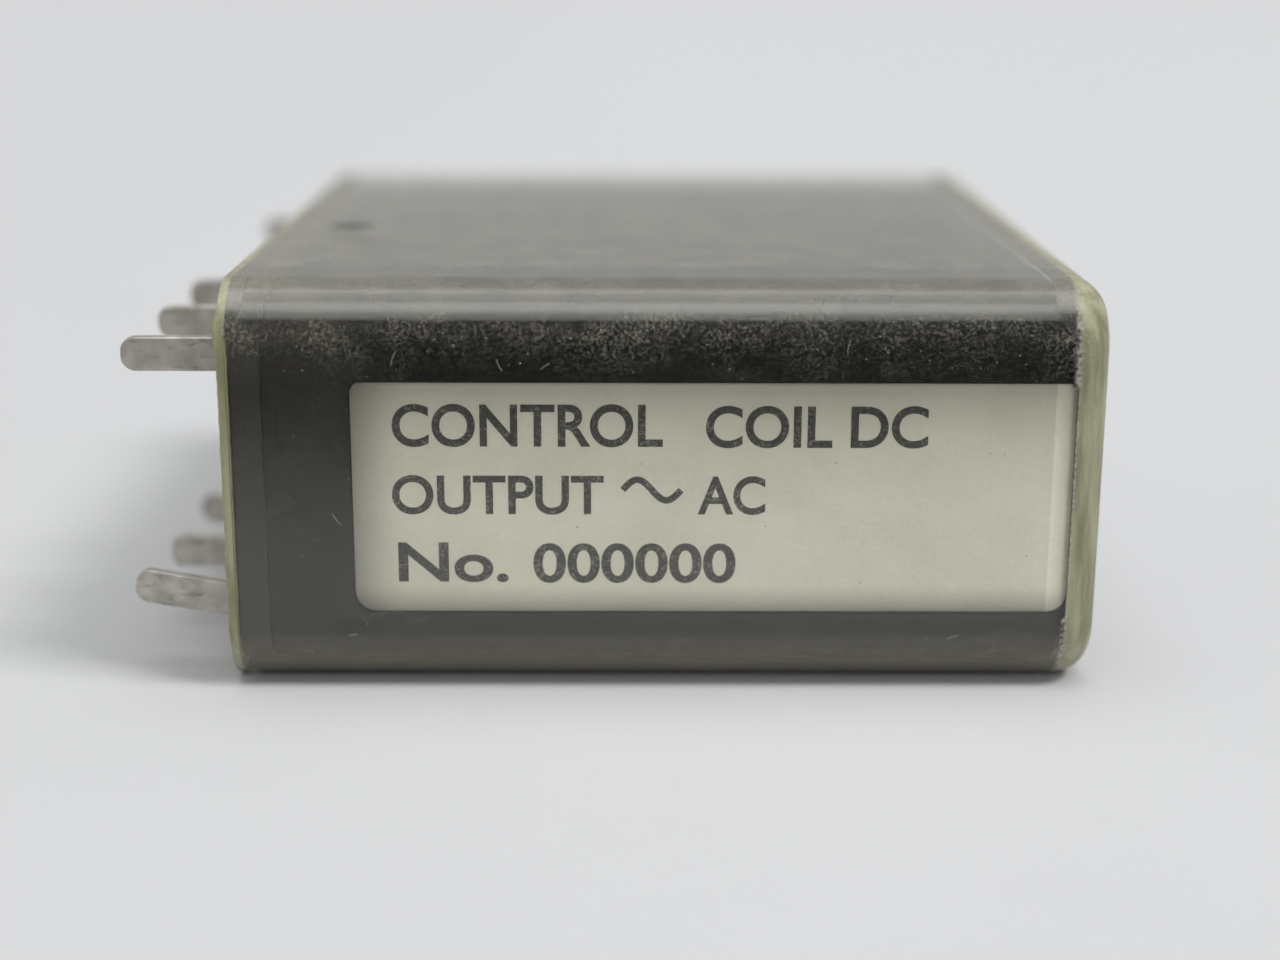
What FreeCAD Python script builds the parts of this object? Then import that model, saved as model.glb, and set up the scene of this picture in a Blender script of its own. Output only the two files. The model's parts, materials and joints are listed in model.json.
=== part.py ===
import FreeCAD, Part
import math
import os

# Plug-in relay with two changeover contacts.
# Millimetres. Origin at the centre of the seating face, where the pins come out.
# +X runs from the seating face to the closed end of the cover, so the pins point to -X.
# +Y runs along the length, from the label side to the coil side. +Z is through the thickness.

V = FreeCAD.Vector
X_AXIS = V(1, 0, 0)
Y_AXIS = V(0, 1, 0)
Z_AXIS = V(0, 0, 1)

# ---- driving dimensions ----
HEIGHT = 25.5
LENGTH = 29.6
THICKNESS = 12.0
GAP = 0.02  # between pieces that are pressed or glued together
SLACK = 0.05  # between pieces that slide or swing past each other

COVER_WALL = 0.48
COVER_END = 0.8
COVER_ROUND = 2.0
COVER_END_ROUND = 1.0
VENT_RADIUS = 0.7
VENT_X = 2.35
VENT_Y = -2.56

PIN_LENGTH = 3.1
PIN_THICK = 0.4
PIN_WIDE = 1.0
PIN_TIP_ROUND = 0.42
PIN_EDGE_ROUND = 0.06
PIN_ROW_Z = 3.75
NO_PIN_Y = -13.0
PIN_PITCH = 5.0
COM_PIN_Y = NO_PIN_Y + PIN_PITCH
NC_PIN_Y = COM_PIN_Y + PIN_PITCH
COIL_REACH = 15.0  # from the nearest contact pins to the coil pins
COIL_PIN_Y = NC_PIN_Y + COIL_REACH

RESIN_THICK = 0.2
FLANGE_TOP = 1.1
BASE_TOP = 3.5

SLEEVE_WALL = 0.8
SLEEVE_LABEL_WALL = 0.75
SLEEVE_BAND_TOP = 2.25
SLEEVE_BAND_INSET = 0.06
SLEEVE_ROUND = 1.5
SLEEVE_END_ROUND = 0.4

WINDOW_LEFT = 3.6
WINDOW_TOP = 3.17
WINDOW_BOTTOM = -3.8
WINDOW_DEPTH = 0.27
WINDOW_ROUNDS = {"top_left": 0.35, "bottom_left": 0.65, "bottom_right": 0.6, "top_right": 0.3}
LABEL_RIGHT = 24.6  # the window runs out at the liner's closed end, where the label slides in
LABEL_THICK = 0.1
LABEL_MARGIN = 0.04

# contact sets, one above and one below the middle plane
SET_Z = 2.35
CARRIER_INNER_Z = 0.96
CARRIER_END = 15.14
CARRIER_BEND_LOW = 5.22
CARRIER_BEND_HIGH = 8.87
LEAF_THICK = 0.22
LEAF_WIDE = 2.61
LEAF_TIP_WIDE = 1.39
LEAF_FOOT = 4.26
LEAF_PIVOT_X = 5.22
LEAF_NECK = 14.96
LEAF_END = 17.92
LEAF_ROUND = 0.26
LEAF_Y = COM_PIN_Y - PIN_THICK / 2 - SLACK - LEAF_THICK / 2
COM_END = 6.35
CONTACT_X = 13.05
CONTACT_GAP = 0.03  # left between closed contacts
MOVING_HEAD = 0.39
MOVING_HEAD_RADIUS = 0.87
FIXED_HEAD = 0.43
FIXED_HEAD_RADIUS = 0.96
HEAD_CHAMFER = 0.13
SHANK_RADIUS = 0.43
TAIL_HEAD = 0.17
TAIL_RADIUS = 0.65

# magnet
COIL_Y = 7.31
YOKE_NEAR = 1.39
YOKE_THICK = 1.13
YOKE_WIDE = 7.31
YOKE_BOTTOM = 4.0
YOKE_FLOOR_END = 10.79
YOKE_TOP = 21.2
CORE_RADIUS = 1.65
CORE_STUB_RADIUS = 1.3
POLE_RADIUS = 3.13
POLE_THICK = 0.87
POLE_TOP = 21.11
BOBBIN_BORE = 1.7
BOBBIN_TUBE = 2.13
FLANGE_THICK = 0.7
FLANGE_NEAR = 2.78
FLANGE_FAR = 11.66
FLANGE_FOOT_FAR = 13.14
FLANGE_WIDE = 8.7
BOBBIN_BOTTOM = YOKE_BOTTOM + YOKE_THICK + SLACK + GAP
BOBBIN_TOP = 20.1
PIN_BLOCK_NEAR = 11.3
PIN_BLOCK_TOP = 6.44
WINDING_RADIUS = 3.92
TAPE_THICK = 0.1
TAPE_MARGIN = 1.39
COIL_PIN_END = 8.18
LEAD_RADIUS = 0.1
LEAD_X = 6.92
LEAD_ANGLE = 34.0
SOLDER_RADIUS = 0.39

# armature, drawn pulled in against the pole and then swung back to rest
ARMATURE_SWING = 8.4
ARMATURE_THICK = 1.04
ARMATURE_WIDE = 7.31
ARMATURE_NECK_WIDE = 5.22
ARMATURE_END_Y = 11.57
ARMATURE_UNDER = 21.25
ARMATURE_LEG_Y = -0.48
ARMATURE_LEG_END = 15.66
ARMATURE_NECK_END = 1.52
ARMATURE_ROUND = 0.43
HINGE = V(21.23, YOKE_NEAR, 0)
SHIM_THICK = 0.09
SHIM_NEAR = 4.18
SHIM_FAR = 10.61
SHIM_WIDE = 6.09

# comb that joins the armature leg to both contact springs
COMB_TRAVEL = 0.7
COMB_X = 16.44
COMB_THICK = 1.04
COMB_BAR_WIDE = 8.0
COMB_BAR_EDGE = 0.48
COMB_SLOT_WIDE = 1.57
COMB_SLOT_SLACK = 0.05
COMB_ARM_WIDE = 1.91
COMB_NOSE_Y = 0.17
COMB_NOSE_RADIUS = 0.35
LEAF_SWING = math.degrees(COMB_TRAVEL / (COMB_X - LEAF_PIVOT_X))

# divider between the contact sets, and between contacts and coil
DIVIDER_FOOT = BASE_TOP + SLACK
DIVIDER_TOP = COMB_X - COMB_THICK / 2 - SLACK
DIVIDER_THICK = 0.6
DIVIDER_START_Y = -13.3
PARTITION_NEAR = -0.52
PARTITION_FAR = 0.17
PARTITION_TOP = 14.36
PARTITION_WIDE = 8.7

# spring frame that keeps the armature on its edge
FRAME_THICK = 0.21
FRAME_WIDE = 7.31
FRAME_OPENING = 5.74
FRAME_BOTTOM = 10.01
FRAME_OPENING_BOTTOM = 13.05
FRAME_TOP = 22.58
FRAME_LIP = 0.17
FRAME_LIP_Y = 0.17
FRAME_RIVET_X = 11.48
FRAME_RIVET_Z = 1.74

# small rivets
RIVET_RADIUS = 0.3
RIVET_HEAD = 0.22
RIVET_HEAD_RADIUS = 0.57
RIVET_SPREAD = 0.65

CONTACT_PINS = [(y, z) for z in (PIN_ROW_Z, -PIN_ROW_Z) for y in (NO_PIN_Y, COM_PIN_Y, NC_PIN_Y)]
COIL_PINS = [(COIL_PIN_Y, PIN_ROW_Z), (COIL_PIN_Y, -PIN_ROW_Z)]

INNER_LENGTH = LENGTH - 2 * COVER_WALL
INNER_THICKNESS = THICKNESS - 2 * COVER_WALL
INNER_HEIGHT = HEIGHT - COVER_END
SLEEVE_LENGTH = INNER_LENGTH - 2 * SLACK
SLEEVE_THICKNESS = INNER_THICKNESS - 2 * SLACK
ROOM_NEAR = -SLEEVE_LENGTH / 2 + SLEEVE_LABEL_WALL
ROOM_FAR = SLEEVE_LENGTH / 2 - SLEEVE_WALL
ROOM_THICKNESS = SLEEVE_THICKNESS - 2 * SLEEVE_WALL
LABEL_FLOOR = -SLEEVE_LENGTH / 2 + WINDOW_DEPTH


# ---- helpers ----
def block(x0, x1, y0, y1, z0, z1):
    """A box between two limits on each axis."""
    return Part.makeBox(x1 - x0, y1 - y0, z1 - z0, V(x0, y0, z0))


def centred(x0, x1, length, thickness):
    """A box between two heights, centred on the X axis."""
    return block(x0, x1, -length / 2, length / 2, -thickness / 2, thickness / 2)


def rod(radius, start, end):
    """A cylinder from one point to another."""
    run = end - start
    return Part.makeCylinder(radius, run.Length, start, run)


def ring(outer, inner, x0, x1):
    """A tube around the coil's axis."""
    start = V(x0, COIL_Y, 0)
    end = V(x1, COIL_Y, 0)
    return rod(outer, start, end).cut(rod(inner, start, end))


def edges_along(shape, axis, keep=lambda middle: True):
    """Straight edges that run along an axis and whose midpoint passes a test."""
    found = []
    for edge in shape.Edges:
        start = edge.Vertexes[0].Point
        end = edge.Vertexes[-1].Point
        run = end - start
        if run.Length > 0 and abs(run.normalize() * axis) > 0.999 and keep((start + end) * 0.5):
            found.append(edge)
    return found


def rounded_along_x(shape, radius):
    """The same block with its four long edges rounded."""
    return shape.makeFillet(radius, edges_along(shape, X_AXIS))


def closed_end_block(x0, x1, length, thickness, long_round, end_round):
    """A block with its long edges rounded and then the whole edge of its far end."""
    body = rounded_along_x(centred(x0, x1, length, thickness), long_round)
    return body.makeFillet(end_round, [edge for edge in body.Edges if edge.BoundBox.XMin > x1 - GAP])


def strip(points, thickness, z0, z1):
    """A flat strip bent along a line of (x, y) points, standing between two heights."""
    line = [V(x, y, z0) for x, y in points]
    runs = [(b - a).normalize() for a, b in zip(line, line[1:])]
    sides = [Z_AXIS.cross(run) for run in runs]
    sides = [sides[0]] + sides + [sides[-1]]
    left = []
    right = []
    for here, before, after in zip(line, sides, sides[1:]):
        mitre = (before + after) * (thickness / 2 / (1 + before * after))
        left.append(here + mitre)
        right.append(here - mitre)
    outline = Part.makePolygon(left + right[::-1] + [left[0]])
    return Part.Face(outline).extrude(V(0, 0, z1 - z0))


def flipped(shape):
    """The same shape on the other side of the middle plane."""
    return shape.mirror(V(0, 0, 0), Z_AXIS)


def pin_slots(pins, x0, x1):
    """Slots for a list of pins, a little larger than the blades."""
    half_y = PIN_THICK / 2 + GAP
    half_z = PIN_WIDE / 2 + GAP
    slots = [block(x0, x1, y - half_y, y + half_y, z - half_z, z + half_z) for y, z in pins]
    return Part.makeCompound(slots)


def rivet_head(radius, y0, y1, x, z, chamfer):
    """A round head along Y with its outer edge cut back; y1 is the outer face."""
    head = rod(radius, V(x, y0, z), V(x, y1, z))
    edges = [edge for edge in head.Edges if edge.Closed and abs(edge.CenterOfMass.y - y1) < 1e-6]
    return head.makeChamfer(chamfer, edges)


# ---- housing ----
def cover():
    """Clear cap, closed at the far end, square cut at its open rim."""
    outer = closed_end_block(0, HEIGHT, LENGTH, THICKNESS, COVER_ROUND, COVER_END_ROUND)
    rounds = (SLEEVE_ROUND, SLEEVE_END_ROUND)
    inner = closed_end_block(-1, INNER_HEIGHT, INNER_LENGTH, INNER_THICKNESS, *rounds)
    vent = rod(VENT_RADIUS, V(VENT_X, VENT_Y, 0), V(VENT_X, VENT_Y, THICKNESS))
    return outer.cut(inner).cut(vent)


def sealing_resin():
    """Poured resin that closes the rim around the pins."""
    plate = centred(0, RESIN_THICK, INNER_LENGTH - 2 * GAP, INNER_THICKNESS - 2 * GAP)
    plate = rounded_along_x(plate, SLEEVE_ROUND)
    return plate.cut(pin_slots(CONTACT_PINS + COIL_PINS, -1, RESIN_THICK + 1))


def base_plate():
    """Flange that meets the cover, and a plug that holds the pins inside the sleeve."""
    flange_bottom = RESIN_THICK + GAP
    flange = centred(flange_bottom, FLANGE_TOP, SLEEVE_LENGTH, SLEEVE_THICKNESS)
    flange = rounded_along_x(flange, SLEEVE_ROUND)
    half = ROOM_THICKNESS / 2 - GAP
    plug = block(flange_bottom, BASE_TOP, ROOM_NEAR + GAP, ROOM_FAR - GAP, -half, half)
    body = flange.fuse(plug).removeSplitter()
    return body.cut(pin_slots(CONTACT_PINS + COIL_PINS, 0, BASE_TOP + 1))


def label_outline(y0, y1, right, margin):
    """A block with rounded corners that reaches to a margin inside the label window's edges."""
    left = WINDOW_LEFT + margin
    panel = block(left, right, y0, y1, WINDOW_BOTTOM + margin, WINDOW_TOP - margin)
    corners = {
        "top_left": lambda middle: middle.x < left + 1 and middle.z > 0,
        "bottom_left": lambda middle: middle.x < left + 1 and middle.z < 0,
        "bottom_right": lambda middle: middle.x > left + 1 and middle.z < 0,
        "top_right": lambda middle: middle.x > left + 1 and middle.z > 0,
    }
    for name, is_corner in corners.items():
        radius = WINDOW_ROUNDS[name] - margin
        panel = panel.makeFillet(radius, edges_along(panel, Y_AXIS, is_corner)[:1])
    return panel


def inner_sleeve():
    """Black liner, open at both ends, with the label recess in its narrow side."""
    top = INNER_HEIGHT - GAP
    rounds = (SLEEVE_ROUND, SLEEVE_END_ROUND)
    main = closed_end_block(SLEEVE_BAND_TOP, top, SLEEVE_LENGTH, SLEEVE_THICKNESS, *rounds)
    band_length = SLEEVE_LENGTH - 2 * SLEEVE_BAND_INSET
    band_thickness = SLEEVE_THICKNESS - 2 * SLEEVE_BAND_INSET
    band_bottom = FLANGE_TOP + GAP
    band = centred(band_bottom, SLEEVE_BAND_TOP, band_length, band_thickness)
    band = rounded_along_x(band, SLEEVE_ROUND - SLEEVE_BAND_INSET)
    half = ROOM_THICKNESS / 2
    room = block(0, HEIGHT, ROOM_NEAR, ROOM_FAR, -half, half)
    recess = label_outline(-LENGTH, LABEL_FLOOR, HEIGHT, 0)
    return main.fuse(band).removeSplitter().cut(room).cut(recess)


def label():
    """Paper label on the floor of the recess."""
    face = LABEL_FLOOR - GAP
    return label_outline(face - LABEL_THICK, face, LABEL_RIGHT, LABEL_MARGIN)


def contact_divider():
    """T-shaped insulating wall: between the two contact sets, and between contacts and coil."""
    half = DIVIDER_THICK / 2
    wall = block(DIVIDER_FOOT, DIVIDER_TOP, DIVIDER_START_Y, PARTITION_FAR, -half, half)
    wall = wall.cut(block(PARTITION_TOP, HEIGHT, PARTITION_NEAR - 1, PARTITION_FAR, -half, half))
    half = PARTITION_WIDE / 2
    partition = block(DIVIDER_FOOT, PARTITION_TOP, PARTITION_NEAR, PARTITION_FAR, -half, half)
    return wall.fuse(partition).removeSplitter()


# ---- terminals ----
def blade(y, end):
    """A flat pin of the upper row with a rounded tip, from its tip to a height inside."""
    pin = block(-PIN_LENGTH, end, y - PIN_THICK / 2, y + PIN_THICK / 2, -PIN_WIDE / 2, PIN_WIDE / 2)
    pin.translate(V(0, 0, PIN_ROW_Z))
    pin = pin.makeFillet(PIN_TIP_ROUND, edges_along(pin, Y_AXIS, lambda middle: middle.x < 0))
    rim = [e for e in pin.Edges if e.BoundBox.YMax - e.BoundBox.YMin < 1e-6 and e.BoundBox.XMin < 0]
    return pin.makeFillet(PIN_EDGE_ROUND, rim)


def carrier(pin_y, carrier_y):
    """A contact pin whose inner end jogs sideways to hold a fixed contact."""
    points = [
        (BASE_TOP + GAP, pin_y),
        (CARRIER_BEND_LOW, pin_y),
        (CARRIER_BEND_HIGH, carrier_y),
        (CARRIER_END, carrier_y),
    ]
    plate = strip(points, PIN_THICK, CARRIER_INNER_Z, PIN_ROW_Z + PIN_WIDE / 2)
    bore = rod(SHANK_RADIUS + GAP, V(CONTACT_X, -LENGTH, SET_Z), V(CONTACT_X, 0, SET_Z))
    return blade(pin_y, CARRIER_BEND_LOW - 1).fuse(plate).removeSplitter().cut(bore)


def contact_reach():
    """Distance from the spring's middle plane to a fixed contact's carrier, at the touching side."""
    tilt = (CONTACT_X - LEAF_PIVOT_X) * math.tan(math.radians(LEAF_SWING / 2))
    return tilt + LEAF_THICK / 2 + MOVING_HEAD + CONTACT_GAP + FIXED_HEAD


def nc_terminal():
    return carrier(NC_PIN_Y, LEAF_Y + contact_reach() + PIN_THICK / 2)


def no_terminal():
    return carrier(NO_PIN_Y, LEAF_Y - contact_reach() - PIN_THICK / 2)


def com_terminal():
    """Common pin with a wide head for the moving spring's foot."""
    top = PIN_ROW_Z + PIN_WIDE / 2
    near = COM_PIN_Y - PIN_THICK / 2
    far = COM_PIN_Y + PIN_THICK / 2
    head = block(BASE_TOP + GAP, COM_END, near, far, CARRIER_INNER_Z, top)
    body = blade(COM_PIN_Y, BASE_TOP + 1).fuse(head).removeSplitter()
    return body.cut(spring_rivet_shanks(RIVET_RADIUS + GAP))


def coil_terminal():
    """Straight pin with a narrowed end where the coil wire is soldered."""
    pin = blade(COIL_PIN_Y, COIL_PIN_END)
    step = block(LEAD_X + 2 * SOLDER_RADIUS, HEIGHT, 0, LENGTH, PIN_ROW_Z + PIN_WIDE / 4, THICKNESS)
    return pin.cut(step)


# ---- contacts ----
def fixed_contact(side):
    """Riveted contact: side 1 is the resting side, side -1 the pulled-in side."""
    reach = contact_reach()
    face = LEAF_Y + side * (reach - FIXED_HEAD)
    seat = LEAF_Y + side * (reach - GAP)
    back = LEAF_Y + side * (reach + PIN_THICK + GAP)
    tail = back + side * TAIL_HEAD
    head = rivet_head(FIXED_HEAD_RADIUS, seat, face, CONTACT_X, SET_Z, HEAD_CHAMFER)
    shank = rod(SHANK_RADIUS, V(CONTACT_X, seat, SET_Z), V(CONTACT_X, back, SET_Z))
    cap = rod(TAIL_RADIUS, V(CONTACT_X, back, SET_Z), V(CONTACT_X, tail, SET_Z))
    return head.fuse([shank, cap]).removeSplitter()


def swung_leaf(shape):
    """Turn a piece drawn on the straight spring to its resting tilt."""
    turned = shape.copy()
    turned.rotate(V(LEAF_PIVOT_X, LEAF_Y, 0), Z_AXIS, LEAF_SWING / 2)
    return turned


def spring_rivet_shanks(radius):
    """The two shanks that hold a spring's foot."""
    places = [V(LEAF_PIVOT_X, 0, SET_Z + side * RIVET_SPREAD) for side in (-1, 1)]
    start = V(0, LEAF_Y - LEAF_THICK, 0)
    end = V(0, COM_PIN_Y + PIN_THICK / 2 + GAP, 0)
    return Part.makeCompound([rod(radius, place + start, place + end) for place in places])


def moving_spring():
    """Contact spring: wide over its length, narrow where it passes through the comb."""
    near = LEAF_Y - LEAF_THICK / 2
    far = LEAF_Y + LEAF_THICK / 2
    half = LEAF_WIDE / 2
    wide = block(LEAF_FOOT, LEAF_NECK, near, far, SET_Z - half, SET_Z + half)
    half = LEAF_TIP_WIDE / 2
    tip = block(LEAF_NECK, LEAF_END, near, far, SET_Z - half, SET_Z + half)
    leaf = wide.fuse(tip).removeSplitter()
    corners = edges_along(leaf, Y_AXIS, lambda middle: middle.x > LEAF_FOOT + 1)
    leaf = leaf.makeFillet(LEAF_ROUND, corners)
    bore = rod(SHANK_RADIUS + GAP, V(CONTACT_X, -LENGTH, SET_Z), V(CONTACT_X, 0, SET_Z))
    leaf = leaf.cut(bore).cut(spring_rivet_shanks(RIVET_RADIUS + SLACK))
    return swung_leaf(leaf)


def moving_contact():
    """Double-sided contact riveted through the spring."""
    pieces = []
    for side in (-1, 1):
        seat = LEAF_Y + side * (LEAF_THICK / 2 + GAP)
        face = LEAF_Y + side * (LEAF_THICK / 2 + MOVING_HEAD)
        pieces.append(rivet_head(MOVING_HEAD_RADIUS, seat, face, CONTACT_X, SET_Z, HEAD_CHAMFER))
    reach = LEAF_THICK / 2 + 2 * GAP
    start = V(CONTACT_X, LEAF_Y - reach, SET_Z)
    end = V(CONTACT_X, LEAF_Y + reach, SET_Z)
    pieces.append(rod(SHANK_RADIUS, start, end))
    return swung_leaf(pieces[0].fuse(pieces[1:]).removeSplitter())


def spring_rivet(z):
    """Small rivet through a spring's foot and its common pin."""
    near = LEAF_Y - LEAF_THICK / 2 - SLACK
    far = COM_PIN_Y + PIN_THICK / 2 + GAP
    shank = rod(RIVET_RADIUS, V(LEAF_PIVOT_X, near, z), V(LEAF_PIVOT_X, far, z))
    front = rivet_head(RIVET_HEAD_RADIUS, near, near - RIVET_HEAD, LEAF_PIVOT_X, z, RIVET_HEAD / 2)
    back = rivet_head(RIVET_HEAD_RADIUS, far, far + RIVET_HEAD, LEAF_PIVOT_X, z, RIVET_HEAD / 2)
    return shank.fuse([front, back]).removeSplitter()


def spring_rivets():
    """Four rivets, two for each spring."""
    places = [side * (SET_Z + spread) for side in (1, -1) for spread in (-RIVET_SPREAD, RIVET_SPREAD)]
    return Part.makeCompound([spring_rivet(z) for z in places])


# ---- magnet ----
def yoke():
    """L-shaped iron: a leg beside the coil and a floor under it."""
    half = YOKE_WIDE / 2
    far = YOKE_NEAR + YOKE_THICK
    leg = block(YOKE_BOTTOM, YOKE_TOP, YOKE_NEAR, far, -half, half)
    floor = block(YOKE_BOTTOM, YOKE_BOTTOM + YOKE_THICK, YOKE_NEAR, YOKE_FLOOR_END, -half, half)
    body = leg.fuse(floor).removeSplitter()
    body = body.cut(rod(CORE_STUB_RADIUS + GAP, V(0, COIL_Y, 0), V(YOKE_BOTTOM + 2, COIL_Y, 0)))
    for z in (-FRAME_RIVET_Z, FRAME_RIVET_Z):
        body = body.cut(rod(RIVET_RADIUS + GAP, V(FRAME_RIVET_X, 0, z), V(FRAME_RIVET_X, far + 1, z)))
    return body


def core():
    """Iron core with a wide pole face and a stub riveted into the yoke."""
    floor_top = YOKE_BOTTOM + YOKE_THICK
    stub = rod(CORE_STUB_RADIUS, V(YOKE_BOTTOM, COIL_Y, 0), V(floor_top + GAP, COIL_Y, 0))
    body = rod(CORE_RADIUS, V(floor_top + GAP, COIL_Y, 0), V(POLE_TOP, COIL_Y, 0))
    pole = rod(POLE_RADIUS, V(POLE_TOP - POLE_THICK, COIL_Y, 0), V(POLE_TOP, COIL_Y, 0))
    return body.fuse([stub, pole]).removeSplitter()


def coil_bobbin():
    """Moulded spool; its lower flange reaches out to hold the coil pins."""
    half = FLANGE_WIDE / 2
    floor_top = BOBBIN_BOTTOM + FLANGE_THICK
    low = block(BOBBIN_BOTTOM, floor_top, FLANGE_NEAR, FLANGE_FOOT_FAR, -half, half)
    pin_block = block(BOBBIN_BOTTOM, PIN_BLOCK_TOP, PIN_BLOCK_NEAR, FLANGE_FOOT_FAR, -half, half)
    high = block(BOBBIN_TOP - FLANGE_THICK, BOBBIN_TOP, FLANGE_NEAR, FLANGE_FAR, -half, half)
    tube = rod(BOBBIN_TUBE, V(BOBBIN_BOTTOM, COIL_Y, 0), V(BOBBIN_TOP, COIL_Y, 0))
    body = low.fuse([pin_block, high, tube]).removeSplitter()
    body = body.cut(rod(BOBBIN_BORE, V(0, COIL_Y, 0), V(HEIGHT, COIL_Y, 0)))
    return body.cut(pin_slots(COIL_PINS, 0, COIL_PIN_END))


def coil_winding():
    floor = BOBBIN_BOTTOM + FLANGE_THICK + SLACK
    ceiling = BOBBIN_TOP - FLANGE_THICK - SLACK
    return ring(WINDING_RADIUS, BOBBIN_TUBE + SLACK, floor, ceiling)


def coil_tape():
    """Insulating wrap around the middle of the winding."""
    inner = WINDING_RADIUS + GAP
    low = BOBBIN_BOTTOM + FLANGE_THICK + TAPE_MARGIN
    high = BOBBIN_TOP - FLANGE_THICK - TAPE_MARGIN
    return ring(inner + TAPE_THICK, inner, low, high)


def lead_wire(radius):
    """Straight run of wire from the winding to an upper coil pin."""
    reach = WINDING_RADIUS + LEAD_RADIUS + GAP
    angle = math.radians(LEAD_ANGLE)
    start = V(LEAD_X, COIL_Y + reach * math.cos(angle), reach * math.sin(angle))
    end = V(LEAD_X, COIL_PIN_Y - PIN_THICK / 2 - LEAD_RADIUS - GAP, PIN_ROW_Z)
    return rod(radius, start, end)


def coil_lead():
    return lead_wire(LEAD_RADIUS)


def solder_joint():
    """Rounded drop of solder on a coil pin, around the end of the wire."""
    face = COIL_PIN_Y - PIN_THICK / 2 - GAP
    drop = Part.makeSphere(SOLDER_RADIUS, V(LEAD_X, face, PIN_ROW_Z))
    drop = drop.cut(block(0, HEIGHT, face, LENGTH, 0, THICKNESS))
    return drop.cut(lead_wire(LEAD_RADIUS + GAP))


def coil_solder():
    drop = solder_joint()
    return Part.makeCompound([drop, flipped(drop)])


# ---- armature and comb ----
def swung_armature(shape):
    """Turn a piece drawn against the pole back to rest."""
    turned = shape.copy()
    turned.rotate(HINGE, Z_AXIS, -ARMATURE_SWING)
    return turned


def armature():
    """Iron angle: a wide plate over the pole, a neck over the hinge edge, a leg to the comb."""
    top = ARMATURE_UNDER + ARMATURE_THICK
    leg_far = ARMATURE_LEG_Y + ARMATURE_THICK
    half = ARMATURE_WIDE / 2
    plate = block(ARMATURE_UNDER, top, ARMATURE_NECK_END, ARMATURE_END_Y, -half, half)
    half = ARMATURE_NECK_WIDE / 2
    neck = block(ARMATURE_UNDER, top, ARMATURE_LEG_Y, ARMATURE_NECK_END, -half, half)
    leg = block(ARMATURE_LEG_END, top, ARMATURE_LEG_Y, leg_far, -half, half)
    body = plate.fuse([neck, leg]).removeSplitter()
    bend = edges_along(body, Z_AXIS, lambda m: m.x > top - GAP and m.y < ARMATURE_LEG_Y + GAP)
    corners = edges_along(body, X_AXIS, lambda m: m.y > ARMATURE_END_Y - GAP)
    return swung_armature(body.makeFillet(ARMATURE_ROUND, bend + corners))


def anti_stick_shim():
    """Thin sheet that keeps the armature from sticking to the pole."""
    top = ARMATURE_UNDER - GAP
    half = SHIM_WIDE / 2
    return swung_armature(block(top - SHIM_THICK, top, SHIM_NEAR, SHIM_FAR, -half, half))


def retaining_spring():
    """Sprung frame on the yoke whose lip holds the armature on its edge."""
    far = YOKE_NEAR - SLACK
    near = far - FRAME_THICK
    half = FRAME_WIDE / 2
    sheet = block(FRAME_BOTTOM, FRAME_TOP, near, far, -half, half)
    half_open = FRAME_OPENING / 2
    lip_bottom = FRAME_TOP - FRAME_LIP
    sheet = sheet.cut(block(FRAME_OPENING_BOTTOM, lip_bottom, near, far, -half_open, half_open))
    body = sheet.fuse(block(lip_bottom, FRAME_TOP, FRAME_LIP_Y, far, -half, half)).removeSplitter()
    for z in (-FRAME_RIVET_Z, FRAME_RIVET_Z):
        body = body.cut(rod(RIVET_RADIUS + GAP, V(FRAME_RIVET_X, 0, z), V(FRAME_RIVET_X, far + 1, z)))
    return body


def retaining_spring_rivets():
    rivets = []
    near = YOKE_NEAR - SLACK - FRAME_THICK - GAP
    for z in (-FRAME_RIVET_Z, FRAME_RIVET_Z):
        start = V(FRAME_RIVET_X, near, z)
        shank = rod(RIVET_RADIUS, start, V(FRAME_RIVET_X, YOKE_NEAR + YOKE_THICK, z))
        head = rivet_head(RIVET_HEAD_RADIUS, near, near - RIVET_HEAD, FRAME_RIVET_X, z, RIVET_HEAD / 2)
        rivets.append(shank.fuse(head).removeSplitter())
    return Part.makeCompound(rivets)


def actuator_comb():
    """Insulating slide: a bar with a slot for each spring, and an arm to the armature leg."""
    low = COMB_X - COMB_THICK / 2
    high = COMB_X + COMB_THICK / 2
    leaf_y = LEAF_Y + COMB_TRAVEL / 2
    slot = LEAF_THICK / 2 + COMB_SLOT_SLACK
    half = COMB_BAR_WIDE / 2
    bar_end = leaf_y + slot + COMB_BAR_EDGE
    bar = block(low, high, leaf_y - slot - COMB_BAR_EDGE, bar_end, -half, half)
    half = COMB_ARM_WIDE / 2
    nose_y = COMB_NOSE_Y - COMB_NOSE_RADIUS
    arm = block(low, high, leaf_y, nose_y, -half, half)
    nose = rod(COMB_NOSE_RADIUS, V(COMB_X, nose_y, -half), V(COMB_X, nose_y, half))
    body = bar.fuse([arm, nose]).removeSplitter()
    for side in (-1, 1):
        middle = side * SET_Z
        half = COMB_SLOT_WIDE / 2
        body = body.cut(block(0, HEIGHT, leaf_y - slot, leaf_y + slot, middle - half, middle + half))
    return body


# ---- write every piece ----
SINGLE = [
    cover,
    inner_sleeve,
    label,
    base_plate,
    sealing_resin,
    contact_divider,
    spring_rivets,
    actuator_comb,
    armature,
    anti_stick_shim,
    retaining_spring,
    retaining_spring_rivets,
    yoke,
    core,
    coil_bobbin,
    coil_winding,
    coil_tape,
    coil_solder,
]
PAIRED = {
    "no_terminal": no_terminal,
    "com_terminal": com_terminal,
    "nc_terminal": nc_terminal,
    "coil_terminal": coil_terminal,
    "no_contact": lambda: fixed_contact(-1),
    "nc_contact": lambda: fixed_contact(1),
    "moving_spring": moving_spring,
    "moving_contact": moving_contact,
    "coil_lead": coil_lead,
}

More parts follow.
